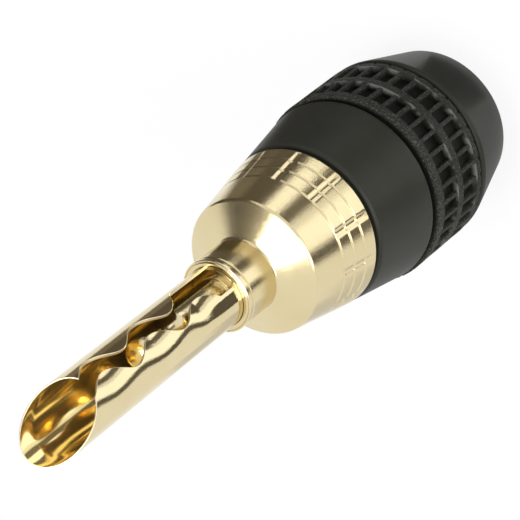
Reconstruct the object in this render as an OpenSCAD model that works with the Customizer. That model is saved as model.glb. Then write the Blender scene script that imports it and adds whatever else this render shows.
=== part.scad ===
// Screw-on speaker plug with a rolled hollow contact, a turned body and an unscrewing housing.
// The plug stands on the rear face of its housing, with the contact pointing up the Z axis.

/* [Contact sleeve] */
// Outer diameter of the rolled contact
pin_d = 4.2; // [3.8:0.05:4.6]
// Length of the contact in front of the neck
pin_len = 18; // [16:0.5:22]
// Thickness of the rolled sheet
sheet_t = 0.2; // [0.15:0.05:0.3]
// Tilt of the slanted tip from a square cut
slant_angle = 42; // [30:1:50]
// Depth to which the sleeve's shank is pressed into the neck
seat_depth = 4.2; // [3:0.1:5]
// Step from the sleeve in to its shank
shank_step = 0.25; // [0.2:0.01:0.4]
// Length of one wave of the slit
wave_len = 4.68; // [4.2:0.02:5.2]
// Swing of the slit to each side of its middle, in degrees
wave_swing = 15; // [8:1:18]
// Width of the wavy slit, in degrees round the sleeve
slit_width = 37; // [28:1:42]
// Distance from the neck to the slit's first swing
first_wave = 5.65; // [5:0.05:6.5]
// Length of the straight slot next to the neck
slot_len = 3.4; // [2.6:0.1:3.6]
// Width of the straight slot, in degrees round the sleeve
slot_width = 72; // [60:1:80]
// Turn of the straight slot's middle from the slit's middle, in degrees
slot_turn = 7; // [0:1:10]

/* [Core pin] */
// Diameter of the pin inside the rolled contact
core_d = 2.5; // [2:0.1:2.8]
// Length of the core pin in front of the neck
core_len = 8.5; // [7:0.1:12]
// Diameter of the core pin's waist
waist_d = 1.7; // [1.3:0.1:1.9]
// Distance from the neck to the middle of the waist
waist_start = 5.4; // [4.5:0.1:5.8]
// Length of the waist
waist_len = 1.9; // [1.2:0.1:2.2]
// Depth to which the core pin is pressed into the body
core_press = 1.5; // [1:0.1:2]

/* [Contact body] */
// Diameter of the neck
neck_d = 5.1; // [4.9:0.05:6]
// Length of the neck
neck_len = 3.2; // [2.5:0.1:5]
// Height of the front cone
cone_len = 1.05; // [0.6:0.05:2]
// Diameter of the barrel at its front shoulder
shoulder_d = 9.75; // [9:0.05:10.5]
// Step from the smooth front down to the barrel's rear edge, in diameter
barrel_step = 0.15; // [0:0.05:0.6]
// Length of the barrel
barrel_len = 5.7; // [5:0.1:8]
// Number of turned grooves round the barrel
groove_count = 3; // [1:1:4]
// Pitch of the grooves
groove_pitch = 1.03; // [0.8:0.01:1.3]
// Width of a groove
groove_w = 0.16; // [0.1:0.02:0.3]
// Depth of a groove
groove_depth = 0.12; // [0.06:0.02:0.2]
// Distance from the barrel's rear edge to its last groove
groove_start = 1.05; // [0.8:0.05:1.5]
// Number of milled notches round the barrel
notch_count = 12; // [6:1:18]
// Width of a notch
notch_w = 0.6; // [0.4:0.05:1.1]
// Depth of a notch
notch_depth = 0.1; // [0.06:0.02:0.3]
// Turn of the first notch from the slit, in degrees
notch_turn = 17; // [0:1:29]
// Major diameter of the housing thread
thread_d = 9; // [8.6:0.1:9.4]
// Width of the relief behind the barrel
relief_w = 0.8; // [0.4:0.1:1.2]
// Depth of the relief and of the step at the thread's rear end
thread_depth = 0.5; // [0.3:0.05:0.6]
// Length of the wire terminal behind the thread
terminal_len = 7.8; // [7.4:0.1:8.2]
// Diameter of the wire bore
wire_d = 4; // [3:0.1:4.2]
// Depth of the wire bore
wire_depth = 7.5; // [7:0.1:8.5]

/* [Clamp screws] */
// Outer diameter of a clamp screw
screw_d = 3; // [2.5:0.1:3.2]
// Distance between the two clamp screws
screw_pitch = 3.7; // [3.5:0.1:3.8]
// Distance from the terminal's rear end to the rear screw
screw_start = 2.1; // [1.9:0.1:2.3]
// Key size of the hexagon socket
key_af = 1.5; // [1.2:0.1:1.6]
// Depth of the hexagon socket
key_depth = 1; // [0.6:0.1:1.3]

/* [Housing] */
// Diameter at the rear end of the cap, before its edge is rounded
rear_d = 11.1; // [10.4:0.1:12]
// Length of the cap
cap_len = 6; // [5.5:0.1:8]
// Rounding of the cap's rear edge
cap_round = 0.4; // [0.2:0.1:1]
// Step from the cap down to the smooth front's rear edge, in diameter
front_step = 0.5; // [0:0.05:1]
// Diameter of the smooth front at its front edge
front_d = 11.95; // [11.6:0.05:12.4]
// Length of the smooth front
front_len = 5.55; // [5:0.05:8]
// Height of the recessed lip that meets the barrel
lip_len = 0.45; // [0.3:0.05:0.8]
// Depth of the recessed lip below the smooth front
lip_depth = 0.5; // [0.3:0.05:0.6]
// Diameter of the cable entry
cable_d = 6.8; // [6:0.1:7.4]
// Length of the cable entry's wall
cable_wall = 2.2; // [1.6:0.1:2.6]
// Diameter of the room round the terminal
room_d = 9.4; // [9.3:0.1:9.8]
// Length of the threaded insert
insert_len = 4.5; // [3.5:0.1:5]
// Wall of the threaded insert
insert_wall = 0.85; // [0.7:0.05:1]
// Depth of the insert's retaining groove
insert_groove = 0.3; // [0.2:0.05:0.4]
// Distance from the barrel to the insert
insert_start = 2.7; // [2:0.1:3.2]
// Wall of the housing between the insert and the grip ring
seat_wall = 0.625; // [0.5:0.025:0.8]

/* [Grip ring] */
// Taper of the grip ring from its rear to its front, in diameter
grip_taper = 0.15; // [0:0.05:0.5]
// Length of the grip ring
grip_len = 5.75; // [5.4:0.05:7]
// Thickness of the ring at its rear edge
grip_wall = 1; // [0.8:0.05:1.1]
// Gap at each end of the ring
grip_gap = 0.4; // [0.2:0.05:0.6]
// Number of pockets in a row
pocket_count = 37; // [24:1:40]
// Width of the rib between two pockets
rib_w = 0.3; // [0.2:0.02:0.4]
// Depth of a pocket at its rear end
pocket_depth = 0.6; // [0.4:0.05:0.7]
// Rise of a pocket's floor towards the front
pocket_rise = 0.25; // [0:0.05:0.3]
// Length of a pocket along the plug
pocket_len = 1.82; // [1.4:0.02:2]
// Width of the band at the ring's rear
rear_band = 0.58; // [0.4:0.02:0.7]
// Width of the band between the two rows
mid_band = 0.78; // [0.5:0.02:0.9]
// Turn of the first rib from the slit, in degrees
rib_turn = 1; // [0:1:9]

/* [Fits] */
// Radial clearance of a running fit
run_clear = 0.05; // [0.03:0.01:0.08]
// Radial clearance of the contact sleeve and the core pin in the body
press_clear = 0.01; // [0.005:0.005:0.02]

/* [Hidden] */
$fn = 128;
brass_gold = "#d8b25a";
soft_black = "#2e2f2d";
rubber_black = "#1f201f";
steel_black = "#4a4a4c";
front_turn = -90;
over = 1;
edge_round = 0.15;
edge_chamfer = 0.2;
arc_steps = 8;

// Heights of the stack, from the rear face up
z_cap = cap_len;
z_grip = z_cap + grip_gap;
z_front_rear = z_grip + grip_len + grip_gap;
z_front = z_front_rear + front_len;
z_barrel = z_front + lip_len;
z_shoulder = z_barrel + barrel_len;
z_cone = z_shoulder + cone_len;
z_neck = z_cone + neck_len;
z_tip = z_neck + pin_len;
z_seat = z_neck - seat_depth;
z_core = z_seat - core_press;
z_waist = z_neck + waist_start;
z_core_tip = z_neck + core_len;
z_insert_top = z_barrel - insert_start;
z_insert = z_insert_top - insert_len;
z_terminal = z_insert - terminal_len;

// Radii that several pieces share
pin_r = pin_d / 2;
shank_r = pin_r - shank_step;
core_r = core_d / 2;
collar_r = shank_r - sheet_t - run_clear;
thread_r = thread_d / 2;
terminal_r = thread_r - thread_depth;
insert_r = thread_r + run_clear + insert_wall;
room_r = room_d / 2;
seat_r = insert_r + run_clear + seat_wall;
cap_d = 2 * (seat_r + grip_wall);
grip_rear_d = cap_d;
grip_front_d = grip_rear_d - grip_taper;
front_rear_d = cap_d - front_step;
barrel_d = front_d - barrel_step;
lip_r = front_d / 2 - lip_depth;
wire_r = wire_d / 2;
screw_len = terminal_r - wire_r - 2 * run_clear;
screw_x = wire_r + run_clear;
screw_z = [z_terminal + screw_start + screw_pitch, z_terminal + screw_start];

// Radius of the barrel at a height
function barrel_r(z) = (barrel_d + (shoulder_d - barrel_d) * (z - z_barrel) / barrel_len) / 2;

// Radius of the grip ring at a height
function grip_r(z) = (grip_rear_d + (grip_front_d - grip_rear_d) * (z - z_grip) / grip_len) / 2;

// Points of an arc about a centre, as radius and height
function arc(centre, r, a0, a1) =
    [for (i = [0:arc_steps]) let (a = a0 + (a1 - a0) * i / arc_steps) centre + r * [cos(a), sin(a)]];

// One side of the slit, as an angle at a height: the wave, widened to the slot near the neck
function wave(z) = -wave_swing * cos(360 * (z - z_neck - first_wave) / wave_len);
function ease(t) = let (u = min(1, max(0, t))) u * u * (3 - 2 * u);
function slot_share(z) = ease((z_neck + slot_len + wave_len / 4 - z) / (wave_len / 4));
function slit_high(z) = let (a = wave(z) + slit_width / 2, b = slot_turn + slot_width / 2)
    max(a, a + (b - a) * slot_share(z));
function slit_low(z) = let (a = wave(z) - slit_width / 2, b = slot_turn - slot_width / 2)
    z < z_neck + first_wave - wave_len / 2 ? max(a, b) : a;

// Rolled sheet contact with its serpentine slit and slanted tip
module contact_sleeve() {
    color(brass_gold)
    rotate(front_turn)
    difference() {
        rotate_extrude() polygon(sleeve_outline());
        slit_cut();
        slant_cut();
    }
}

// Half section of the rolled sheet: the shank in the neck, the step and the sleeve
function sleeve_outline() = concat(
    [[shank_r, z_seat], [shank_r, z_neck], [pin_r, z_neck + shank_step], [pin_r, z_tip]],
    [[pin_r - sheet_t, z_tip], [pin_r - sheet_t, z_neck + shank_step],
     [shank_r - sheet_t, z_neck], [shank_r - sheet_t, z_seat]]);

// Prism along +X whose outline, seen from the front, is the slit
module slit_cut() {
    steps = 72;
    z0 = z_seat - over;
    z1 = z_tip - pin_r * tan(slant_angle);
    heights = [for (i = [0:steps]) z0 + (z1 - z0) * i / steps];
    outline = concat([for (z = heights) [pin_r * sin(slit_low(z)), z]],
                     [for (i = [steps:-1:0]) [pin_r * sin(slit_high(heights[i])), heights[i]]]);
    rotate([90, 0, 90]) linear_extrude(height = pin_d) polygon(outline);
}

// Half space above the slanted tip, lowest on the slit's side
module slant_cut() {
    reach = 6 * pin_d;
    translate([0, 0, z_tip - pin_r * tan(slant_angle)])
        rotate([0, slant_angle, 0])
        translate([-reach / 2, -reach / 2, 0])
        cube(reach);
}

// Turned pin inside the sleeve, pressed into the body, with a collar in the neck and a waist behind its head
module core_pin() {
    color(brass_gold) rotate_extrude() polygon(core_outline());
}

// Half section of the core pin, as radius and height
function core_outline() = let (slope = waist_len / 4, dip = waist_d / 2)
    [[0, z_core], [core_r, z_core], [core_r, z_seat], [collar_r, z_seat], [collar_r, z_neck],
     [core_r, z_neck + collar_r - core_r], [core_r, z_waist - waist_len / 2],
     [dip, z_waist - waist_len / 2 + slope], [dip, z_waist + waist_len / 2 - slope],
     [core_r, z_waist + waist_len / 2], [core_r, z_core_tip - edge_round],
     [core_r - edge_round, z_core_tip], [0, z_core_tip]];

// Turned body: neck, cone, grooved barrel, thread and wire terminal in one piece
module contact_body() {
    color(brass_gold)
    rotate(front_turn)
    difference() {
        rotate_extrude() polygon(body_outline());
        translate([0, 0, z_seat]) cylinder(h = seat_depth + over, r = shank_r + press_clear);
        translate([0, 0, z_core]) cylinder(h = core_press + over, r = core_r + press_clear);
        translate([0, 0, z_terminal - over]) cylinder(h = wire_depth + over, r = wire_r);
        for (z = screw_z)
            translate([0, 0, z]) rotate([0, 90, 0]) cylinder(h = thread_d, r = screw_d / 2 + run_clear);
        for (i = [0:notch_count - 1])
            rotate(notch_turn + i * 360 / notch_count) notch_cut();
    }
}

// Half section of the body without its bores, as radius and height
function body_outline() = concat(
    [[0, z_terminal], [terminal_r - edge_chamfer, z_terminal], [terminal_r, z_terminal + edge_chamfer],
     [terminal_r, z_insert], [thread_r, z_insert + thread_depth], [thread_r, z_barrel - relief_w],
     [terminal_r, z_barrel - relief_w], [terminal_r, z_barrel],
     [barrel_d / 2 - edge_round, z_barrel], [barrel_r(z_barrel + edge_round), z_barrel + edge_round]],
    [for (i = [0:groove_count - 1]) for (k = [-1:1])
        let (z = z_barrel + groove_start + i * groove_pitch + k * groove_w / 2)
        [barrel_r(z) - (k == 0 ? groove_depth : 0), z]],
    [[barrel_r(z_shoulder - edge_round), z_shoulder - edge_round],
     [shoulder_d / 2 - edge_round, z_shoulder + edge_round / 2],
     [neck_d / 2, z_cone], [neck_d / 2, z_neck - edge_round],
     [neck_d / 2 - edge_round, z_neck], [0, z_neck]]);

// Round cutter for one notch, laid along the barrel's slope and ending at the foremost groove
module notch_cut() {
    notch_len = groove_start + (groove_count - 1) * groove_pitch;
    slope = atan((barrel_d - shoulder_d) / 2 / barrel_len);
    cut_r = (notch_w * notch_w / 4 + notch_depth * notch_depth) / 2 / notch_depth;
    translate([barrel_d / 2, 0, z_barrel])
        rotate([0, -slope, 0])
        translate([cut_r - notch_depth, 0, -over])
        cylinder(h = notch_len / cos(slope) + over, r = cut_r);
}

// Socket grub screw lying along X, flush with the terminal
module clamp_screw(z) {
    color(steel_black)
    rotate(front_turn)
    translate([screw_x, 0, z]) rotate([0, 90, 0])
    difference() {
        rotate_extrude()
            polygon([[0, 0], [screw_d / 2 - edge_chamfer, 0], [screw_d / 2, edge_chamfer],
                     [screw_d / 2, screw_len - edge_chamfer], [screw_d / 2 - edge_chamfer, screw_len],
                     [0, screw_len]]);
        translate([0, 0, screw_len - key_depth])
            cylinder(h = key_depth + over, d = key_af / cos(30), $fn = 6);
    }
}

module front_clamp_screw() { clamp_screw(screw_z[0]); }
module rear_clamp_screw() { clamp_screw(screw_z[1]); }

// Half section of the insert, grown by a clearance
function insert_outline(grow) =
    let (r = insert_r + grow, bore = thread_r + run_clear - 2 * grow,
         low = z_insert - grow, high = z_insert_top + grow,
         rib = insert_len / 4 - 2 * grow, mid = (z_insert + z_insert_top) / 2)
    [[bore, low], [r, low], [r, mid - rib / 2], [r - insert_groove, mid - rib / 2],
     [r - insert_groove, mid + rib / 2], [r, mid + rib / 2], [r, high], [bore, high]];

// Brass bush with the housing's thread, held by a groove
module thread_insert() {
    color(brass_gold) rotate_extrude() polygon(insert_outline(0));
}

// Half section of the housing's outside, solid to the axis
function housing_outline() =
    let (slope = atan((cap_d - rear_d) / 2 / (cap_len - edge_chamfer)),
         centre = [rear_d / 2 - cap_round * tan(45 - slope / 2), cap_round])
    concat([[0, 0]], arc(centre, cap_round, -90, -slope),
           [[cap_d / 2, z_cap - edge_chamfer], [cap_d / 2 - edge_chamfer, z_cap],
            [seat_r, z_cap], [seat_r, z_front_rear],
            [front_rear_d / 2 - edge_chamfer, z_front_rear],
            [front_rear_d / 2, z_front_rear + edge_chamfer],
            [front_d / 2, z_front - edge_chamfer], [front_d / 2 - edge_chamfer, z_front],
            [lip_r, z_front], [lip_r, z_barrel], [0, z_barrel]]);

// Moulded housing: smooth front, seat for the grip ring, and cap with the cable entry
module housing() {
    color(soft_black)
    difference() {
        rotate_extrude() polygon(housing_outline());
        translate([0, 0, z_insert]) cylinder(h = z_barrel, r = thread_r + 2 * run_clear);
        rotate_extrude() polygon(insert_outline(run_clear));
        translate([0, 0, cable_wall]) cylinder(h = z_insert - cable_wall, r = room_r);
        translate([0, 0, -over]) cylinder(h = cable_wall + 2 * over, d = cable_d);
        translate([0, 0, -over])
            cylinder(h = over + edge_chamfer, r1 = cable_d / 2 + over + edge_chamfer, r2 = cable_d / 2);
    }
}

// Half section of the ring without its pockets
function grip_outline() = let (r0 = grip_rear_d / 2, r1 = grip_front_d / 2, z1 = z_grip + grip_len)
    [[seat_r, z_grip], [r0 - edge_round, z_grip], [r0, z_grip + edge_round],
     [r1, z1 - edge_round], [r1 - edge_round, z1], [seat_r, z1]];

// Cutter for one pocket, with a floor that rises towards the front
module pocket_cut(z, w) {
    floor_r = grip_r(z) - pocket_depth;
    rotate([90, 0, 0])
        linear_extrude(height = w, center = true)
        polygon([[floor_r, z], [floor_r + pocket_depth + over, z],
                 [floor_r + pocket_depth + over, z + pocket_len],
                 [floor_r + pocket_rise, z + pocket_len]]);
}

// Rubber ring with two rows of pockets between its ribs
module grip_ring() {
    pocket_w = PI * grip_front_d / pocket_count - rib_w;
    rows = [z_grip + rear_band, z_grip + rear_band + pocket_len + mid_band];
    color(rubber_black)
    rotate(front_turn)
    difference() {
        rotate_extrude() polygon(grip_outline());
        for (z = rows)
            for (i = [0:pocket_count - 1])
                rotate(rib_turn + (i + 0.5) * 360 / pocket_count) pocket_cut(z, pocket_w);
    }
}

contact_sleeve();
core_pin();
contact_body();
front_clamp_screw();
rear_clamp_screw();
thread_insert();
housing();
grip_ring();
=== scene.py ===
import math

import bmesh
import bpy
from mathutils import Matrix, Vector


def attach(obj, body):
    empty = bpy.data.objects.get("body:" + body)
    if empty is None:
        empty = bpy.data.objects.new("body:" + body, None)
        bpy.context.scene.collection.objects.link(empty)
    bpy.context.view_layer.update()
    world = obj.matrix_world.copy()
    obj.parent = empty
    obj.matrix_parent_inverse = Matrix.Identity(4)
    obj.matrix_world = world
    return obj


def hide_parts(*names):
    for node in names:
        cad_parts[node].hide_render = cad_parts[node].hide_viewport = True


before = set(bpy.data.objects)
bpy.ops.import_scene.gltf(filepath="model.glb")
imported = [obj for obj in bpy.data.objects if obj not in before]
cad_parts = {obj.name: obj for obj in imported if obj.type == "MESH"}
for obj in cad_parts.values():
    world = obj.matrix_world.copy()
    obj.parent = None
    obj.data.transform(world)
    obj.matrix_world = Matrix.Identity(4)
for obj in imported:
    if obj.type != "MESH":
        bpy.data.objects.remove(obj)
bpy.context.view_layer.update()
mm = 0.001
print("frame loaded:", ", ".join(sorted(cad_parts)))


# shared helpers

lathe = dict(roundSteps=4, longEdge=0.3, holdGap=0.03, seamGap=0.001, copyGap=0.002)


def linkMesh(bm, name):
    mesh = bpy.data.meshes.new(name)
    bm.to_mesh(mesh)
    bm.free()
    piece = bpy.data.objects.new(name, mesh)
    bpy.context.scene.collection.objects.link(piece)
    return piece


def placeMesh(bm, name, body, material, sharpAngle):
    piece = linkMesh(bm, name)
    for polygon in piece.data.polygons:
        polygon.use_smooth = True
    if sharpAngle:
        piece.data.set_sharp_from_angle(angle=math.radians(sharpAngle))
    piece.data.materials.append(material)
    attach(piece, body)
    return piece


def sweep(bm, geom, angle, steps, **how):
    # everything round is swept about the plug's axis
    bmesh.ops.spin(bm, geom=geom, cent=(0, 0, 0), axis=(0, 0, 1), angle=angle, steps=steps, **how)


def mergeDoubles(bm, gap):
    bmesh.ops.remove_doubles(bm, verts=bm.verts[:], dist=gap * mm)


def faceOutwards(bm):
    bmesh.ops.recalc_face_normals(bm, faces=bm.faces[:])


def drawProfile(bm, corners):
    # closed outline in the XZ plane from (radius, height, rounding) in mm
    verts = [bm.verts.new((r * mm, 0, z * mm)) for r, z, rounding in corners]
    for a, b in zip(verts, verts[1:] + verts[:1]):
        bm.edges.new((a, b))
    sizes = sorted({rounding for r, z, rounding in corners if rounding})
    picked = [[v for v, corner in zip(verts, corners) if corner[2] == size] for size in sizes]
    for size, group in zip(sizes, picked):
        bmesh.ops.bevel(bm, geom=group, offset=size * mm, offset_type="OFFSET", segments=lathe["roundSteps"],
                        profile=0.5, affect="VERTICES", material=-1)
    for edge in bm.edges[:]:  # hold the long stretches straight, so that they shade as drawn
        length = edge.calc_length() / mm
        if length > lathe["longEdge"]:
            share = lathe["holdGap"] / length
            first, last = edge.verts
            other = bmesh.utils.edge_split(edge, first, share)[0]
            bmesh.utils.edge_split(edge if last in edge.verts else other, last, share)


def turnProfile(corners, steps):
    bm = bmesh.new()
    drawProfile(bm, corners)
    sweep(bm, bm.verts[:] + bm.edges[:], math.tau, steps, use_merge=True)
    faceOutwards(bm)
    return bm


def ease(t):
    t = min(1, max(0, t))
    return t * t * (3 - 2 * t)


class Nodes:
    # a material's node tree, filled line by line
    def __init__(self, name):
        self.material = bpy.data.materials.new(name)
        self.material.use_nodes = True
        self.tree = self.material.node_tree
        self.shader = self.tree.nodes["Principled BSDF"]
        self.place = self.add("ShaderNodeTexCoord").outputs["Object"]

    def add(self, kind, **settings):
        node = self.tree.nodes.new(kind)
        for key, value in settings.items():
            setattr(node, key, value)
        return node

    def link(self, a, b):
        self.tree.links.new(a, b)

    def stretched(self, scale):
        mapping = self.add("ShaderNodeMapping")
        mapping.inputs["Scale"].default_value = scale
        self.link(self.place, mapping.inputs["Vector"])
        return mapping.outputs["Vector"]

    def noise(self, vector, scale, detail=3.0, roughness=0.55):
        node = self.add("ShaderNodeTexNoise")
        node.inputs["Scale"].default_value = scale
        node.inputs["Detail"].default_value = detail
        node.inputs["Roughness"].default_value = roughness
        self.link(vector, node.inputs["Vector"])
        return node.outputs["Fac"]

    def ramp(self, factor, stops):
        node = self.add("ShaderNodeValToRGB")
        while len(node.color_ramp.elements) < len(stops):
            node.color_ramp.elements.new(0.5)
        for element, (position, color) in zip(node.color_ramp.elements, stops):
            element.position = position
            element.color = (*color, 1)
        self.link(factor, node.inputs["Fac"])
        return node.outputs["Color"]

    def radius(self):
        # distance from the plug's axis, in metres
        node = self.add("ShaderNodeVectorMath", operation="LENGTH")
        self.link(self.stretched((1, 1, 0)), node.inputs[0])
        return node.outputs["Value"]

    def nearHeight(self, places, reach):
        # one close to the given heights along the axis, none beyond the reach
        split = self.add("ShaderNodeSeparateXYZ")
        self.link(self.place, split.inputs[0])
        nearest = None
        for place in places:
            away = self.add("ShaderNodeMath", operation="SUBTRACT")
            self.link(split.outputs["Z"], away.inputs[0])
            away.inputs[1].default_value = place
            size = self.add("ShaderNodeMath", operation="ABSOLUTE")
            self.link(away.outputs[0], size.inputs[0])
            if nearest is None:
                nearest = size.outputs[0]
                continue
            least = self.add("ShaderNodeMath", operation="MINIMUM")
            self.link(nearest, least.inputs[0])
            self.link(size.outputs[0], least.inputs[1])
            nearest = least.outputs[0]
        return self.spread(nearest, (1, 0), (reach / 2, reach))

    def blend(self, factor, colorA, colorB):
        node = self.add("ShaderNodeMix", data_type="RGBA")
        self.link(factor, node.inputs["Factor"])
        self.link(colorA, node.inputs[6])
        self.link(colorB, node.inputs[7])
        return node.outputs[2]

    def spread(self, factor, onto, taken=(0, 1)):
        node = self.add("ShaderNodeMapRange")
        node.inputs["From Min"].default_value, node.inputs["From Max"].default_value = taken
        node.inputs["To Min"].default_value, node.inputs["To Max"].default_value = onto
        self.link(factor, node.inputs["Value"])
        return node.outputs["Result"]

    def bump(self, height, distance, strength, below=None):
        node = self.add("ShaderNodeBump")
        node.inputs["Distance"].default_value = distance
        node.inputs["Strength"].default_value = strength
        self.link(height, node.inputs["Height"])
        if below is not None:
            self.link(below, node.inputs["Normal"])
        return node.outputs["Normal"]

    def set(self, socket, value):
        target = self.shader.inputs[socket]
        if isinstance(value, bpy.types.NodeSocket):
            self.link(value, target)
        else:
            target.default_value = value


# finishes: scales are per metre, depths and heights in metres

goldLook = dict(colors=[(0.3, (0.76, 0.66, 0.41)), (0.75, (0.71, 0.595, 0.35))], drawnScale=(900, 900, 60),
                lineScale=2.0, turnedScale=(40, 40, 2600), markScale=3.0, grainScale=13000)
rolledLook = dict(cloudScale=260, roughness=(0.07, 0.16), grainDepth=5e-6, lineDepth=1.2e-6)


def rolledGold():
    # bright plate on drawn sheet, with faint lines along the sleeve
    n, look = Nodes("rolled_gold"), rolledLook
    lines = n.noise(n.stretched(goldLook["drawnScale"]), goldLook["lineScale"])
    grain = n.noise(n.place, goldLook["grainScale"], 0.5)
    cloud = n.noise(n.place, look["cloudScale"], 2.0)
    n.set("Metallic", 1.0)
    n.set("Base Color", n.ramp(cloud, goldLook["colors"]))
    n.set("Roughness", n.spread(lines, look["roughness"]))
    n.set("Normal", n.bump(grain, look["grainDepth"], 0.7, n.bump(lines, look["lineDepth"], 0.5)))
    return n.material


# inner face: a copy of the gold with painted bounce light, warmer, brighter and a little diffuse
paintedBounceLook = dict(colors=[(0.3, (0.95, 0.77, 0.37)), (0.75, (0.92, 0.72, 0.31))], cloudScale=500, metallic=0.96,
                  roughness=(0.07, 0.16), lineDepth=2e-6)


def paintedBounceGold():
    # the sheet's inner face, warmer and brighter than the plated outside: light bounced round inside the sleeve is
    # painted into its colour
    n, look = Nodes("inside_gold_painted_bounce"), paintedBounceLook
    lines = n.noise(n.stretched(goldLook["drawnScale"]), goldLook["lineScale"])
    cloud = n.noise(n.place, look["cloudScale"], 3.0)
    n.set("Metallic", look["metallic"])
    n.set("Base Color", n.ramp(cloud, look["colors"]))
    n.set("Roughness", n.spread(lines, look["roughness"]))
    n.set("Normal", n.bump(lines, look["lineDepth"], 0.5))
    return n.material


cutLook = dict(colors=[(0.35, (0.86, 0.74, 0.47)), (0.7, (0.93, 0.83, 0.58))], metallic=0.9,
               roughness=(0.3, 0.45), grainDepth=1e-5)


def cutGold():
    # the sheet's cut edge, rougher than its faces
    n, look = Nodes("cut_gold"), cutLook
    grain = n.noise(n.place, goldLook["grainScale"], 1.0)
    n.set("Metallic", look["metallic"])
    n.set("Base Color", n.ramp(grain, look["colors"]))
    n.set("Roughness", n.spread(grain, look["roughness"]))
    n.set("Normal", n.bump(grain, look["grainDepth"], 0.6))
    return n.material


turnedLook = dict(cloudScale=200, roughness=(0.12, 0.24), grainDepth=8e-6, markDepth=2e-6)


def turnedGold():
    # plate over lathe marks that run round the body
    n, look = Nodes("turned_gold"), turnedLook
    marks = n.noise(n.stretched(goldLook["turnedScale"]), goldLook["markScale"], 4.0)
    grain = n.noise(n.place, goldLook["grainScale"], 0.5)
    cloud = n.noise(n.place, look["cloudScale"], 2.0)
    n.set("Metallic", 1.0)
    n.set("Base Color", n.ramp(cloud, goldLook["colors"]))
    n.set("Roughness", n.spread(marks, look["roughness"]))
    n.set("Normal", n.bump(grain, look["grainDepth"], 0.8, n.bump(marks, look["markDepth"], 0.4)))
    return n.material


warmGloss = (1.0, 1.0, 0.86, 1.0)  # both blacks shine a little warm
shellLook = dict(colors=[(0.3, (0.021, 0.0216, 0.0175)), (0.75, (0.027, 0.0277, 0.0224))], grainScale=9000,
                 cloudScale=300, roughness=(0.36, 0.48), gloss=0.2, grainDepth=4e-6)


def satinBlack():
    # moulded shell with a fine eggshell surface
    n, look = Nodes("satin_black"), shellLook
    grain = n.noise(n.place, look["grainScale"], 2.0)
    cloud = n.noise(n.place, look["cloudScale"], 3.0)
    n.set("Base Color", n.ramp(cloud, look["colors"]))
    n.set("Roughness", n.spread(grain, look["roughness"]))
    n.set("Specular IOR Level", look["gloss"])
    n.set("Specular Tint", warmGloss)
    n.set("Normal", n.bump(grain, look["grainDepth"], 0.4))
    return n.material


# colours: painted shade in the pockets, a painted highlight along the pocket rows' rear edges, and dust specks on the
# front bead that are partly painted glints
gripLook = dict(pocketShade=[(0.35, (0.007, 0.0072, 0.0058)), (0.72, (0.013, 0.0134, 0.0108))],
                proudRubber=[(0.3, (0.016, 0.0165, 0.0133)), (0.6, (0.028, 0.0288, 0.0232)),
                        (0.74, (0.1, 0.1015, 0.088))],
                paintedHighlight=[(0.42, (0.02, 0.0206, 0.0166)), (0.6, (0.14, 0.142, 0.126))],
                dustAndGlints=[(0.5, (0.018, 0.0185, 0.0149)), (0.68, (0.085, 0.0865, 0.075))],
                grainScale=7000, speckScale=9000, paintedHighlightScale=1100, pocketShadeRadii=(0.0066, 0.00695),
                paintedHighlightHeights=(0.00698, 0.00958), paintedHighlightReach=0.00011, dustAndGlintsHeights=(0.0119,), dustAndGlintsReach=0.0003,
                roughness=(0.5, 0.72), gloss=0.14, grainDepth=1e-5)


def gripRubber():
    # matt rubber: the pockets take painted shade below the proud rubber, a painted highlight runs along the pocket
    # rows' rear edges, and the front bead has dust specks that are partly painted glints
    n, look = Nodes("grip_rubber"), gripLook
    grain = n.noise(n.place, look["grainScale"], 4.0, 0.7)
    specks = n.noise(n.place, look["speckScale"], 1.0)
    pocketShade, proudRubber = n.ramp(specks, look["pocketShade"]), n.ramp(specks, look["proudRubber"])
    paintedHighlight = n.ramp(n.noise(n.place, look["paintedHighlightScale"], 1.0), look["paintedHighlight"])
    dustAndGlints = n.ramp(specks, look["dustAndGlints"])
    # a painted highlight along the rear edges of both pocket rows
    edges = n.blend(n.nearHeight(look["paintedHighlightHeights"], look["paintedHighlightReach"]), proudRubber, paintedHighlight)
    # dust specks on the front bead's crest, partly painted glints
    outside = n.blend(n.nearHeight(look["dustAndGlintsHeights"], look["dustAndGlintsReach"]), edges, dustAndGlints)
    # pockets below these radii take painted shade, darker than the proud rubber
    n.set("Base Color", n.blend(n.spread(n.radius(), (0, 1), look["pocketShadeRadii"]), pocketShade, outside))
    n.set("Roughness", n.spread(grain, look["roughness"]))
    n.set("Specular IOR Level", look["gloss"])
    n.set("Specular Tint", warmGloss)
    n.set("Normal", n.bump(grain, look["grainDepth"], 0.5))
    return n.material


steelLook = dict(colors=[(0.3, (0.10, 0.10, 0.105)), (0.7, (0.16, 0.16, 0.165))], grainScale=5000,
                 roughness=(0.3, 0.5))


def blackSteel():
    n, look = Nodes("black_steel"), steelLook
    grain = n.noise(n.place, look["grainScale"], 3.0)
    n.set("Metallic", 1.0)
    n.set("Base Color", n.ramp(grain, look["colors"]))
    n.set("Roughness", n.spread(grain, look["roughness"]))
    return n.material


brassLook = dict(colors=[(0.3, (0.62, 0.45, 0.17)), (0.7, (0.72, 0.55, 0.24))], turnedScale=(60, 60, 3000),
                 markScale=3.0, roughness=(0.2, 0.38))


def bareBrass():
    n, look = Nodes("bare_brass"), brassLook
    marks = n.noise(n.stretched(look["turnedScale"]), look["markScale"])
    n.set("Metallic", 1.0)
    n.set("Base Color", n.ramp(marks, look["colors"]))
    n.set("Roughness", n.spread(marks, look["roughness"]))
    return n.material


rolledFinish = rolledGold()
paintedBounceFinish = paintedBounceGold()
cutFinish = cutGold()
turnedFinish = turnedGold()
shellFinish = satinBlack()
rubberFinish = gripRubber()
screwFinish = blackSteel()
insertFinish = bareBrass()
print("finishes ready")


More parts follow.
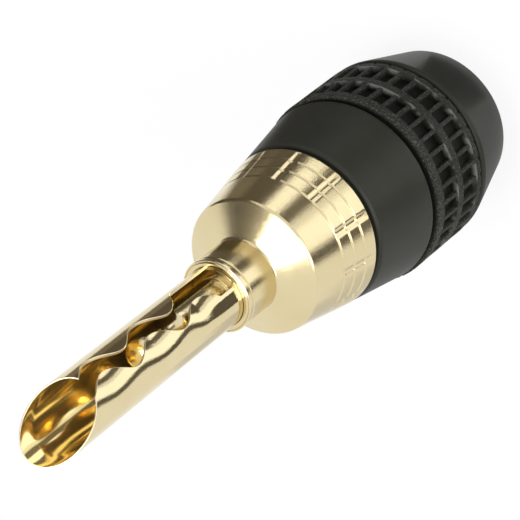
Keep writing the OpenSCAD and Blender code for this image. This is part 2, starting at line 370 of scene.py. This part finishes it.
# rolled contact sleeve, in mm and degrees round from the front

sleeve = dict(radius=2.1, sheet=0.2, shankRadius=1.85, seat=24.3, neck=28.5, footDrop=0.35, step=0.3, tip=46.5,
              slant=42, straight=40.0, columns=132, rows=230, settle=6,
              waveLength=4.68, swing=15, slitWidth=37, firstWave=5.65, slotLength=3.4, slotWidth=72, slotTurn=7,
              petalDip=0.15, slotDip=0.26, slotDipEnd=36, slotDipFade=2, petalFrom=2, petalFade=2,
              petalStart=60, petalReach=56, petalSoft=0.12, petalLimit=1.2,
              flatMiddle=46, flatHalf=11, flatEnd=33.2, flatFade=2.6,
              tipThinning=0.55, thinFrom=0.8, thinFade=0.2, edge=0.06, edgeSteps=3, edgeAngle=50)


def slitWave(z):
    s = sleeve
    return -s["swing"] * math.cos(math.tau * (z - s["neck"] - s["firstWave"]) / s["waveLength"])


def slitHigh(z):
    s = sleeve
    quarter = s["waveLength"] / 4
    a = slitWave(z) + s["slitWidth"] / 2
    b = s["slotTurn"] + s["slotWidth"] / 2
    return max(a, a + (b - a) * ease((s["neck"] + s["slotLength"] + quarter - z) / quarter))


def slitLow(z):
    s = sleeve
    a = slitWave(z) - s["slitWidth"] / 2
    b = s["slotTurn"] - s["slotWidth"] / 2
    return max(a, b) if z < s["neck"] + s["firstWave"] - s["waveLength"] / 2 else a


def petal(angle, z):
    # the margin's tongues dip inwards and the sheet between them lifts a little
    s = sleeve
    share = max(0, (s["petalStart"] - angle) / s["petalReach"])
    if share > s["petalLimit"] or z < s["neck"]:
        return 0
    flat = s["flatHalf"] * ease((s["flatEnd"] - z) / s["flatFade"])
    chord = 0
    if abs(angle - s["flatMiddle"]) < flat:  # the sheet is nearly flat beside the slot
        chord = math.cos(math.radians(flat)) / math.cos(math.radians(angle - s["flatMiddle"])) - 1
    bend = math.sqrt(share * share + s["petalSoft"] * s["petalSoft"]) - s["petalSoft"]
    dip = s["petalDip"] + (s["slotDip"] - s["petalDip"]) * ease((s["slotDipEnd"] - z) / s["slotDipFade"])
    rise = ease((z - s["neck"] - s["petalFrom"]) / s["petalFade"])
    return chord * s["radius"] - dip * bend * slitWave(z) / s["swing"] * rise


def rollSheet(bm):
    # wraps the grid round the axis and gives each point's share of the way from the straight part to the rim
    s = sleeve
    radius, straight = s["radius"], s["straight"]
    slope = math.tan(math.radians(s["slant"]))
    middle = s["tip"] - radius * slope
    shares = []
    for v in bm.verts:
        across, along = (v.co.x + 1) / 2, (v.co.y + 1) / 2
        z = s["seat"] + along * (s["tip"] - s["seat"])
        share = max(0, (z - straight) / (s["tip"] - straight))
        for turn in range(s["settle"]):  # the rim's height and the slit's edges depend on each other
            low, high = slitHigh(z), slitLow(z) + 360
            angle = math.radians(low + (high - low) * across)
            if share:
                z = straight + share * (middle - radius * slope * math.cos(angle) - straight)
        shares.append(share)
        r = radius + petal(360 - math.degrees(angle), z)
        r -= (radius - s["shankRadius"]) * ease((s["neck"] - s["footDrop"] - z) / s["step"])
        v.co = (r * mm * math.sin(angle), -r * mm * math.cos(angle), z * mm)
    return shares


def rollSleeve():
    s = sleeve
    bm = bmesh.new()
    bmesh.ops.create_grid(bm, x_segments=s["columns"], y_segments=s["rows"], size=1)
    shares = rollSheet(bm)
    faceOutwards(bm)
    probe = max(bm.faces, key=lambda f: f.calc_center_median().y)
    if probe.normal.y < 0:  # an open sheet can come out turned round
        bmesh.ops.reverse_faces(bm, faces=bm.faces[:])
    piece = placeMesh(bm, "rolled_sleeve", "contact", rolledFinish, 0)
    # the inner face takes the gold copy with painted bounce light
    piece.data.materials.append(paintedBounceFinish)
    piece.data.materials.append(cutFinish)
    thin = piece.vertex_groups.new(name="sheet")
    for index, share in enumerate(shares):
        thin.add([index], 1 - s["tipThinning"] * ease((share - s["thinFrom"]) / s["thinFade"]), "REPLACE")
    wall = piece.modifiers.new("wall", "SOLIDIFY")
    wall.thickness = s["sheet"] * mm
    wall.offset = -1
    wall.use_even_offset = True
    wall.vertex_group = "sheet"
    wall.material_offset = 1
    wall.material_offset_rim = 2
    rim = piece.modifiers.new("rim", "BEVEL")
    rim.width = s["edge"] * mm
    rim.segments = s["edgeSteps"]
    rim.limit_method = "ANGLE"
    rim.angle_limit = math.radians(s["edgeAngle"])
    rim.harden_normals = True
    rim.material = 2
    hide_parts("contact_sleeve")


rollSleeve()
print("sleeve rolled")


# core pin inside the sleeve

core = dict(radius=1.25, rear=22.8, tip=37.0, waistRadius=0.85, waist=33.9, waistLength=1.9, soft=0.35,
            seat=24.3, neck=28.5, collarRadius=1.64, collarDrop=0.34, flangeRadius=1.88, flangeRear=0.3,
            flangeDrop=0.12, flangeRound=0.03, stepRadius=1.44, stepRise=0.08, stepFoot=0.02,
            domeLength=0.55, domeShare=0.7, domeDrop=0.12, domeRound=0.3, steps=96)


def turnCore():
    c = core
    radius, neck, tip, soft = c["radius"], c["neck"], c["tip"], c["soft"]
    half, slope = c["waistLength"] / 2, c["waistLength"] / 4
    corners = [(0, c["rear"], 0), (radius, c["rear"], 0), (radius, c["seat"], 0), (c["collarRadius"], c["seat"], 0),
               (c["collarRadius"], neck - c["collarDrop"], 0), (c["flangeRadius"], neck - c["flangeRear"], 0),
               (c["flangeRadius"], neck - c["flangeDrop"], c["flangeRound"]),
               (c["stepRadius"], neck - c["flangeDrop"], 0),
               (c["stepRadius"], neck + c["stepRise"], c["flangeRound"]),
               (radius, neck + c["stepRise"], c["stepFoot"]),
               (radius, c["waist"] - half, soft), (c["waistRadius"], c["waist"] - half + slope, soft),
               (c["waistRadius"], c["waist"] + half - slope, soft), (radius, c["waist"] + half, soft),
               (radius, tip - c["domeLength"], c["domeRound"]),
               (radius * c["domeShare"], tip - c["domeDrop"], c["domeRound"]), (0, tip, 0)]
    bm = turnProfile(corners, c["steps"])
    mergeDoubles(bm, lathe["seamGap"])
    faceOutwards(bm)
    piece = placeMesh(bm, "turned_core", "contact", turnedFinish, 30)
    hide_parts("core_pin")


turnCore()
print("core turned")


# turned contact body: the bead's outline is (inset, drop below the neck's end, rounding)

body = dict(neckRadius=2.55, neckDrop=0.6, neckRound=0.03, beadRadius=2.57,
            bead=((0.08, 0.5, 0.03), (0, 0.42, 0.05), (0, 0.08, 0.05), (0.09, 0.04, 0.03), (0.14, 0.1, 0.02),
                  (0.2, 0, 0.05)),
            mouthRadius=2.09, mouthFlare=0.035, mouthRound=0.03, mouthDepth=0.3, boreRadius=1.86,
            seat=24.3, neck=28.5, coneTop=25.3, coneRound=0.12, shoulder=24.25, shoulderRadius=4.875,
            shoulderRound=0.14, barrel=18.55, barrelRadius=5.9, barrelRound=0.1,
            grooveStart=1.05, groovePitch=1.03, grooveCount=3, grooveWidth=0.16, grooveDepth=0.12, grooveRound=0.03,
            flutes=12, fluteTurn=17, fluteWidth=0.6, fluteDepth=0.1, fluteFade=0.25, fluteSkin=0.25, fluteSteps=30)


def barrelRadius(z):
    b = body
    taper = b["shoulderRadius"] - b["barrelRadius"]
    return b["barrelRadius"] + taper * (z - b["barrel"]) / (b["shoulder"] - b["barrel"])


def barrelCorners():
    b = body
    half, soft, neck = b["grooveWidth"] / 2, b["grooveRound"], b["neck"]
    corners = [(0, b["barrel"], 0), (b["barrelRadius"], b["barrel"], b["barrelRound"])]
    for i in range(b["grooveCount"]):
        z = b["barrel"] + b["grooveStart"] + i * b["groovePitch"]
        corners += [(barrelRadius(z - half), z - half, soft), (barrelRadius(z) - b["grooveDepth"], z, soft),
                    (barrelRadius(z + half), z + half, soft)]
    corners += [(b["shoulderRadius"], b["shoulder"], b["shoulderRound"]),
                (b["neckRadius"], b["coneTop"], b["coneRound"]),
                (b["neckRadius"], neck - b["neckDrop"], b["neckRound"])]
    corners += [(b["beadRadius"] - inset, neck - drop, rounding) for inset, drop, rounding in b["bead"]]
    corners += [(b["mouthRadius"] + b["mouthFlare"], neck, b["mouthRound"]),
                (b["mouthRadius"], neck - b["mouthDepth"], 0), (b["boreRadius"], neck - b["mouthDepth"], 0),
                (b["boreRadius"], b["seat"], 0), (0, b["seat"], 0)]
    return corners


def turnBarrel():
    # one flute's share of the barrel is turned, fluted and copied round
    b = body
    top = b["barrel"] + b["grooveStart"] + (b["grooveCount"] - 1) * b["groovePitch"] - b["grooveWidth"] / 4
    pitch = math.tau / b["flutes"]
    start = math.radians(b["fluteTurn"] - 90) - pitch / 2
    bm = bmesh.new()
    drawProfile(bm, barrelCorners())
    bmesh.ops.rotate(bm, verts=bm.verts[:], cent=(0, 0, 0), matrix=Matrix.Rotation(start, 3, "Z"))
    sweep(bm, bm.verts[:] + bm.edges[:], pitch, b["fluteSteps"])
    for v in bm.verts:
        r, z = math.hypot(v.co.x, v.co.y) / mm, v.co.z / mm
        if z > top or r < barrelRadius(z) - b["fluteSkin"]:
            continue
        offset = (math.atan2(v.co.y, v.co.x) - start) % math.tau - pitch / 2
        place = abs(offset) * r / (b["fluteWidth"] / 2)
        if place < 1:
            depth = b["fluteDepth"] * ease((z - b["barrel"]) / b["fluteFade"])
            sunk = (r - depth * (1 - place * place)) / r
            v.co.x *= sunk
            v.co.y *= sunk
    sweep(bm, bm.verts[:] + bm.edges[:] + bm.faces[:], math.tau, b["flutes"], use_duplicate=True)
    mergeDoubles(bm, lathe["copyGap"])
    faceOutwards(bm)
    piece = placeMesh(bm, "turned_barrel", "contact", turnedFinish, 30)
    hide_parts("contact_body")


turnBarrel()
print("barrel turned")


# thread and wire terminal behind the barrel

terminal = dict(top=18.6, barrel=18.55, reliefWidth=0.8, reliefRadius=4.0, reliefStep=0.05, radius=4.0, rear=3.55,
                chamfer=0.2, steps=96, wireRadius=2.0, wireTop=11.05, wireRound=0.12,
                drillPoint=0.7, drillShare=0.98, drillEdge=0.05,
                screwRadius=1.55, screwHeights=(9.35, 5.65), screwMiddle=3, screwLength=4, screwSteps=64,
                coreRadius=4.08, coreRound=0.03, coreSlope=0.4, coreSlopeRound=0.05)
thread = dict(radius=4.48, rear=11.85, pitch=0.75, stepsPerTurn=48, footShare=0.44, crestHalf=0.06, root=0.1,
              runOut=0.5, runOutRise=0.05)


def cutHoles(piece):
    t = terminal
    bm = bmesh.new()
    layDown = Matrix.Rotation(math.radians(90), 4, "X")
    for z in t["screwHeights"]:
        turnToFront = Matrix.Translation((0, -t["screwMiddle"] * mm, z * mm)) @ layDown
        bmesh.ops.create_cone(bm, cap_ends=True, segments=t["screwSteps"], radius1=t["screwRadius"] * mm,
                              radius2=t["screwRadius"] * mm, depth=t["screwLength"] * mm, matrix=turnToFront)
    cutter = linkMesh(bm, "screw_holes")
    cut = piece.modifiers.new("holes", "BOOLEAN")
    cut.operation = "DIFFERENCE"
    cut.solver = "EXACT"
    cut.object = cutter
    drilled = bpy.data.meshes.new_from_object(piece.evaluated_get(bpy.context.evaluated_depsgraph_get()))
    piece.modifiers.remove(cut)
    piece.data = drilled
    bpy.data.objects.remove(cutter)


def turnTerminal():
    t = terminal
    threadTop = t["barrel"] - t["reliefWidth"]
    corners = [(0, t["wireTop"] + t["drillPoint"], 0), (t["wireRadius"] * t["drillShare"], t["wireTop"], 0),
               (t["wireRadius"], t["wireTop"] - t["drillEdge"], 0), (t["wireRadius"], t["rear"], t["wireRound"]),
               (t["radius"], t["rear"], t["chamfer"]),
               (t["radius"], thread["rear"] - t["coreSlope"], t["coreSlopeRound"]),
               (t["coreRadius"], thread["rear"], 0), (t["coreRadius"], threadTop, t["coreRound"]),
               (t["reliefRadius"], threadTop + t["reliefStep"], 0), (t["reliefRadius"], t["top"], 0), (0, t["top"], 0)]
    bm = turnProfile(corners, t["steps"])
    mergeDoubles(bm, lathe["seamGap"])
    bmesh.ops.dissolve_degenerate(bm, edges=bm.edges[:], dist=lathe["seamGap"] / 2 * mm)
    faceOutwards(bm)
    cutHoles(placeMesh(bm, "wire_terminal", "contact", turnedFinish, 30))


def cutThread():
    t, h = terminal, thread
    length = t["barrel"] - t["reliefWidth"] - h["rear"] - h["pitch"]
    turns = length / h["pitch"]
    steps = round(turns * h["stepsPerTurn"])
    half = h["pitch"] * h["footShare"]
    start = h["rear"] + h["pitch"] / 2
    foot = t["coreRadius"]
    rib = [(foot - h["root"], -half), (foot, -half), (h["radius"], -h["crestHalf"]),
           (h["radius"], h["crestHalf"]), (foot, half), (foot - h["root"], half)]
    bm = bmesh.new()
    face = bm.faces.new([bm.verts.new((r * mm, 0, (start + z) * mm)) for r, z in rib])
    sweep(bm, [face], math.tau * turns, steps, dvec=(0, 0, length / steps * mm))
    low = foot + h["runOutRise"]
    for v in bm.verts:  # let the thread run out at both ends
        r, z = math.hypot(v.co.x, v.co.y) / mm, v.co.z / mm
        fade = min(1, (z - start + half) / h["runOut"], (start + length + half - z) / h["runOut"])
        if r > low:
            shrink = (low + (r - low) * max(0, fade)) / r
            v.co.x *= shrink
            v.co.y *= shrink
    faceOutwards(bm)
    placeMesh(bm, "housing_thread", "contact", turnedFinish, 30)


turnTerminal()
cutThread()
print("terminal drilled and threaded")


# moulded housing

shell = dict(rearRadius=5.55, rearRound=0.4, capRadius=7.075, cap=6.0, capEdge=0.25, capInset=0.15, capRound=0.15,
             capEndRound=0.1, seatRadius=6.075, frontRear=12.55, frontRearRadius=6.825, frontEdge=0.2,
             frontInset=0.1, frontEdgeRound=0.12, front=18.1, frontRadius=5.975, noseEdge=0.2, noseRound=0.1,
             noseEndRound=0.07, lip=18.55, lipRadius=5.475, lipRound=0.05, boreRadius=4.6, roomRadius=4.7,
             pocketRadius=5.45, pocketTop=15.9, pocketRear=11.3, cableRadius=3.4, cableWall=2.2, cableRound=0.1,
             cableFlare=0.2, cableFlareRound=0.08, steps=192)


def mouldShell():
    s = shell
    corners = [(s["cableRadius"] + s["cableFlare"], 0, s["cableFlareRound"]), (s["rearRadius"], 0, s["rearRound"]),
               (s["capRadius"], s["cap"] - s["capEdge"], s["capRound"]),
               (s["capRadius"] - s["capInset"], s["cap"], s["capEndRound"]),
               (s["seatRadius"], s["cap"], 0), (s["seatRadius"], s["frontRear"], 0),
               (s["frontRearRadius"] - s["frontInset"], s["frontRear"], s["frontEdgeRound"]),
               (s["frontRearRadius"], s["frontRear"] + s["frontEdge"], s["frontEdgeRound"]),
               (s["frontRadius"], s["front"] - s["noseEdge"], s["noseRound"]),
               (s["frontRadius"] - s["noseEdge"], s["front"], s["noseEndRound"]),
               (s["lipRadius"], s["front"], s["lipRound"]), (s["lipRadius"], s["lip"], s["lipRound"]),
               (s["boreRadius"], s["lip"], s["lipRound"]),
               (s["boreRadius"], s["pocketTop"], 0), (s["pocketRadius"], s["pocketTop"], 0),
               (s["pocketRadius"], s["pocketRear"], 0), (s["roomRadius"], s["pocketRear"], 0),
               (s["roomRadius"], s["cableWall"], 0), (s["cableRadius"], s["cableWall"], s["cableRound"]),
               (s["cableRadius"], s["cableFlare"], s["cableFlareRound"])]
    piece = placeMesh(turnProfile(corners, s["steps"]), "moulded_shell", "shell", shellFinish, 35)
    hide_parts("housing")


mouldShell()
print("shell moulded")


# rubber grip ring: rows are rear band, pocket, middle band and pocket, and the front band takes what is left

grip = dict(count=37, turn=1, seatRadius=6.075, rear=6.4, front=12.15, rearRadius=7.075, frontRadius=7.0, rib=0.3,
            pocketDepth=0.6, pocketRise=0.25, rows=(0.58, 1.82, 0.78, 1.82), draft=0.05, edge=0.07, edgeSteps=2,
            edgeAngle=0.8, endEdge=0.2, endSteps=4, wallMark=-1)


def movedVerts(result):
    return [item for item in result["geom"] if isinstance(item, bmesh.types.BMVert)]


def pressPockets(bm, heights, inside):
    g = grip
    for low, high in ((heights[1], heights[2]), (heights[3], heights[4])):
        middles = [(f, f.calc_center_median()) for f in bm.faces]
        faces = [f for f, middle in middles if low < middle.y < high and abs(middle.x) < inside]
        sunk = bmesh.ops.extrude_face_region(bm, geom=faces)
        bmesh.ops.delete(bm, geom=faces, context="FACES_KEEP_BOUNDARY")
        for v in movedVerts(sunk):
            share = (v.co.y - low) / (high - low)
            v.co.z = -g["pocketDepth"] + g["pocketRise"] * share
            v.co.x *= 1 - g["draft"]
            v.co.y += g["draft"] * (0.5 - share)


def bevelEdges(bm, edges, offset, segments):
    bmesh.ops.bevel(bm, geom=edges, offset=offset, offset_type="OFFSET", segments=segments, profile=0.5,
                    affect="EDGES", material=-1)


def mouldGrip():
    # one rib's share is laid flat, pressed, rounded, bent round the seat and copied
    g = grip
    pitch = math.tau / g["count"]
    heights = [g["rear"]]
    for step in g["rows"]:
        heights.append(heights[-1] + step)
    heights.append(g["front"])
    reach = pitch * g["frontRadius"] / 2
    inside = reach - g["rib"] / 2
    sides = [-reach, -reach + g["rib"] / 2, -reach / 3, reach / 3, inside, reach]
    cells = len(sides) - 1
    bm = bmesh.new()
    bmesh.ops.create_grid(bm, x_segments=cells, y_segments=cells, size=1)
    for v in bm.verts:  # lay the grid's lines where the ribs and bands are
        v.co = (sides[round((v.co.x + 1) * cells / 2)], heights[round((v.co.y + 1) * cells / 2)], 0)
    pressPockets(bm, heights, inside)
    rims = [e for e in bm.edges if len(e.link_faces) == 2 and e.calc_face_angle() > g["edgeAngle"]]
    bevelEdges(bm, rims, g["edge"], g["edgeSteps"])
    ends = [e for e in bm.edges if e.is_boundary and abs(e.verts[0].co.y - e.verts[1].co.y) < 1e-6]
    for v in movedVerts(bmesh.ops.extrude_edge_only(bm, edges=ends)):
        v.co.z = g["wallMark"]
    bevelEdges(bm, [e for e in ends if e.is_valid], g["endEdge"], g["endSteps"])
    for v in bm.verts:  # bend the flat strip round the seat
        share = (v.co.y - g["rear"]) / (g["front"] - g["rear"])
        outer = g["rearRadius"] + (g["frontRadius"] - g["rearRadius"]) * share
        r = g["seatRadius"] if v.co.z < g["wallMark"] * 0.99 else outer + v.co.z
        angle = v.co.x / g["frontRadius"] + math.radians(g["turn"] - 90) + pitch / 2
        v.co = (r * mm * math.cos(angle), r * mm * math.sin(angle), v.co.y * mm)
    sweep(bm, bm.verts[:] + bm.edges[:] + bm.faces[:], math.tau, g["count"], use_duplicate=True)
    mergeDoubles(bm, lathe["copyGap"])
    bmesh.ops.bridge_loops(bm, edges=[e for e in bm.edges if e.is_boundary])
    faceOutwards(bm)
    piece = placeMesh(bm, "moulded_grip", "shell", rubberFinish, 45)
    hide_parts("grip_ring")


mouldGrip()
print("grip moulded")


# the inside pieces keep their CAD shapes

insidePieces = dict(front_clamp_screw=screwFinish, rear_clamp_screw=screwFinish, thread_insert=insertFinish)
for nodeName, finish in insidePieces.items():
    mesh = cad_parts[nodeName].data
    mesh.materials.clear()
    mesh.materials.append(finish)
print("screws and insert finished")


# floor, sky and lamps

studio = dict(floorHalf=2.0, floorCells=8, floorColor=(0.75, 0.75, 0.75), floorGlow=0.9, skyColor=(0.8, 0.8, 0.8),
              skyLight=0.55, lampTarget=(0, 0, 0.02))
lamps = dict(overhead=dict(place=(0.0, -0.02, 0.45), side=0.16, power=1.6),
             left=dict(place=(-0.4, -0.25, 0.35), side=0.3, power=1.5))
white = (1, 1, 1, 1)


def rayMix(tree, shaderA, shaderB, factor):
    mix = tree.nodes.new("ShaderNodeMixShader")
    if isinstance(factor, bpy.types.NodeSocket):
        tree.links.new(factor, mix.inputs[0])
    else:
        mix.inputs[0].default_value = factor
    tree.links.new(shaderA, mix.inputs[1])
    tree.links.new(shaderB, mix.inputs[2])
    return mix.outputs[0]


def seenRay(tree):
    # one for what the camera sees, directly or in metal and glass
    path = tree.nodes.new("ShaderNodeLightPath")
    seen = path.outputs["Is Camera Ray"]
    for name in ("Is Glossy Ray", "Is Transmission Ray"):
        highest = tree.nodes.new("ShaderNodeMath")
        highest.operation = "MAXIMUM"
        tree.links.new(seen, highest.inputs[0])
        tree.links.new(path.outputs[name], highest.inputs[1])
        seen = highest.outputs[0]
    return seen


def layFloor():
    bm = bmesh.new()
    bmesh.ops.create_grid(bm, x_segments=studio["floorCells"], y_segments=studio["floorCells"],
                          size=studio["floorHalf"])
    floor = linkMesh(bm, "floor")
    material = bpy.data.materials.new("floor_paper")
    material.use_nodes = True
    tree = material.node_tree
    tree.nodes.clear()
    paper = tree.nodes.new("ShaderNodeBsdfDiffuse")
    paper.inputs["Color"].default_value = (*studio["floorColor"], 1)
    glow = tree.nodes.new("ShaderNodeEmission")
    glow.inputs["Color"].default_value = white
    glow.inputs["Strength"].default_value = 1.0
    lit = rayMix(tree, paper.outputs[0], glow.outputs[0], studio["floorGlow"])
    out = tree.nodes.new("ShaderNodeOutputMaterial")
    tree.links.new(rayMix(tree, paper.outputs[0], lit, seenRay(tree)), out.inputs["Surface"])
    floor.data.materials.append(material)


def lightSky():
    world = bpy.data.worlds.new("sky")
    bpy.context.scene.world = world
    world.use_nodes = True
    tree = world.node_tree
    tree.nodes.clear()
    soft = tree.nodes.new("ShaderNodeBackground")
    soft.inputs["Color"].default_value = (*studio["skyColor"], 1)
    soft.inputs["Strength"].default_value = studio["skyLight"]
    seen = tree.nodes.new("ShaderNodeBackground")
    seen.inputs["Color"].default_value = white
    seen.inputs["Strength"].default_value = 1.0
    out = tree.nodes.new("ShaderNodeOutputWorld")
    tree.links.new(rayMix(tree, soft.outputs[0], seen.outputs[0], seenRay(tree)), out.inputs["Surface"])


def hangLamp(name, place, side, power):
    lamp = bpy.data.lights.new(name, "AREA")
    lamp.shape = "RECTANGLE"
    lamp.size, lamp.size_y = side, side
    lamp.energy = power
    holder = bpy.data.objects.new(name, lamp)
    bpy.context.scene.collection.objects.link(holder)
    holder.location = place
    holder.rotation_euler = (Vector(studio["lampTarget"]) - Vector(place)).to_track_quat("-Z", "Y").to_euler()


layFloor()
lightSky()
for name, lamp in lamps.items():
    hangLamp(name, **lamp)
print("floor laid and lit")


# cards that only reflections see: flags are dark, bounces bright and shades grey

cards = dict(lift=0.3, steps=24, tint=(1, 0.84, 0.66), roughness=0.9)
# on the floor about the axis: first and last angle, near and far radius in mm, then colour or glow
flags = dict(flag_foot=(-68, -124, 6, 13, 0.06), flag_near=(14, -109, 13, 32, 0.06),
             flag_side=(4, -22, 32, 190, 0.13), flag_corner=(-22, -59, 32, 190, 0.06),
             flag_front=(-81, -100, 32, 160, 0.08), flag_thin=(-147, -164, 9, 160, 0.05))
glows = dict(bounce_right=(-60, -80, 34, 160, 1.45), bounce_front=(-112, -145, 9, 160, 1.45),
             shade_foot=(-124, -260, 6, 13, 0.62), shade_rear=(-206, -262, 13, 35, 0.72),
             shade_far_rear=(-224, -262, 35, 41, 0.72))
# upright on the right: distance, first and last place along Y and height in mm, then colour
uprights = dict(flag_right=(120, -110, 6, 600, 0.06), flag_right_edge=(120, 6, 27, 600, 0.012))


def hangCard(name, bm, shade, glow=0):
    card = linkMesh(bm, name)
    material = bpy.data.materials.new(name)
    material.use_nodes = True
    paint = material.node_tree.nodes["Principled BSDF"].inputs
    paint["Base Color"].default_value = (*(shade * part for part in cards["tint"]), 1)
    paint["Roughness"].default_value = cards["roughness"]
    if glow:
        paint["Specular IOR Level"].default_value = 0
        paint["Emission Color"].default_value = white
        paint["Emission Strength"].default_value = glow
    card.data.materials.append(material)
    card.visible_camera = False
    card.visible_shadow = False
    card.visible_diffuse = False


def layCard(name, first, last, near, far, shade, glow=0):
    bm = bmesh.new()
    a, b = (bm.verts.new((r * mm, 0, cards["lift"] * mm)) for r in (near, far))
    edge = bm.edges.new((a, b))
    bmesh.ops.rotate(bm, verts=[a, b], cent=(0, 0, 0), matrix=Matrix.Rotation(math.radians(last), 3, "Z"))
    sweep(bm, [a, b, edge], math.radians(first - last), cards["steps"])
    hangCard(name, bm, shade, glow)


def standCard(name, x, first, last, height, shade):
    bm = bmesh.new()
    corners = [(x, first, 0), (x, last, 0), (x, last, height), (x, first, height)]
    bm.faces.new([bm.verts.new(Vector(c) * mm) for c in corners])
    hangCard(name, bm, shade)


for name, card in flags.items():
    layCard(name, *card)
for name, (first, last, near, far, glow) in glows.items():
    layCard(name, first, last, near, far, 0, glow)
for name, card in uprights.items():
    standCard(name, *card)
print("cards hung")


# camera, fitted to the photograph

view = dict(lens=142.8, sensor=36, nearest=0.005, farthest=20, place=(-39.79, -85.33, 118.55),
            right=(-0.7991, -0.2413, -0.5507), up=(0.5223, -0.7322, -0.4371), ahead=(0.2978, 0.6369, -0.7111))

camera = bpy.data.cameras.new("camera")
camera.lens = view["lens"]
camera.sensor_width = view["sensor"]
camera.clip_start = view["nearest"]
camera.clip_end = view["farthest"]
eye = bpy.data.objects.new("camera", camera)
turn = Matrix((Vector(view["right"]), Vector(view["up"]), -Vector(view["ahead"]))).transposed()
eye.matrix_world = Matrix.Translation(Vector(view["place"]) * mm) @ turn.to_4x4()
bpy.context.scene.collection.objects.link(eye)
bpy.context.scene.camera = eye
bpy.context.scene.view_settings.view_transform = "Standard"
print("camera set")
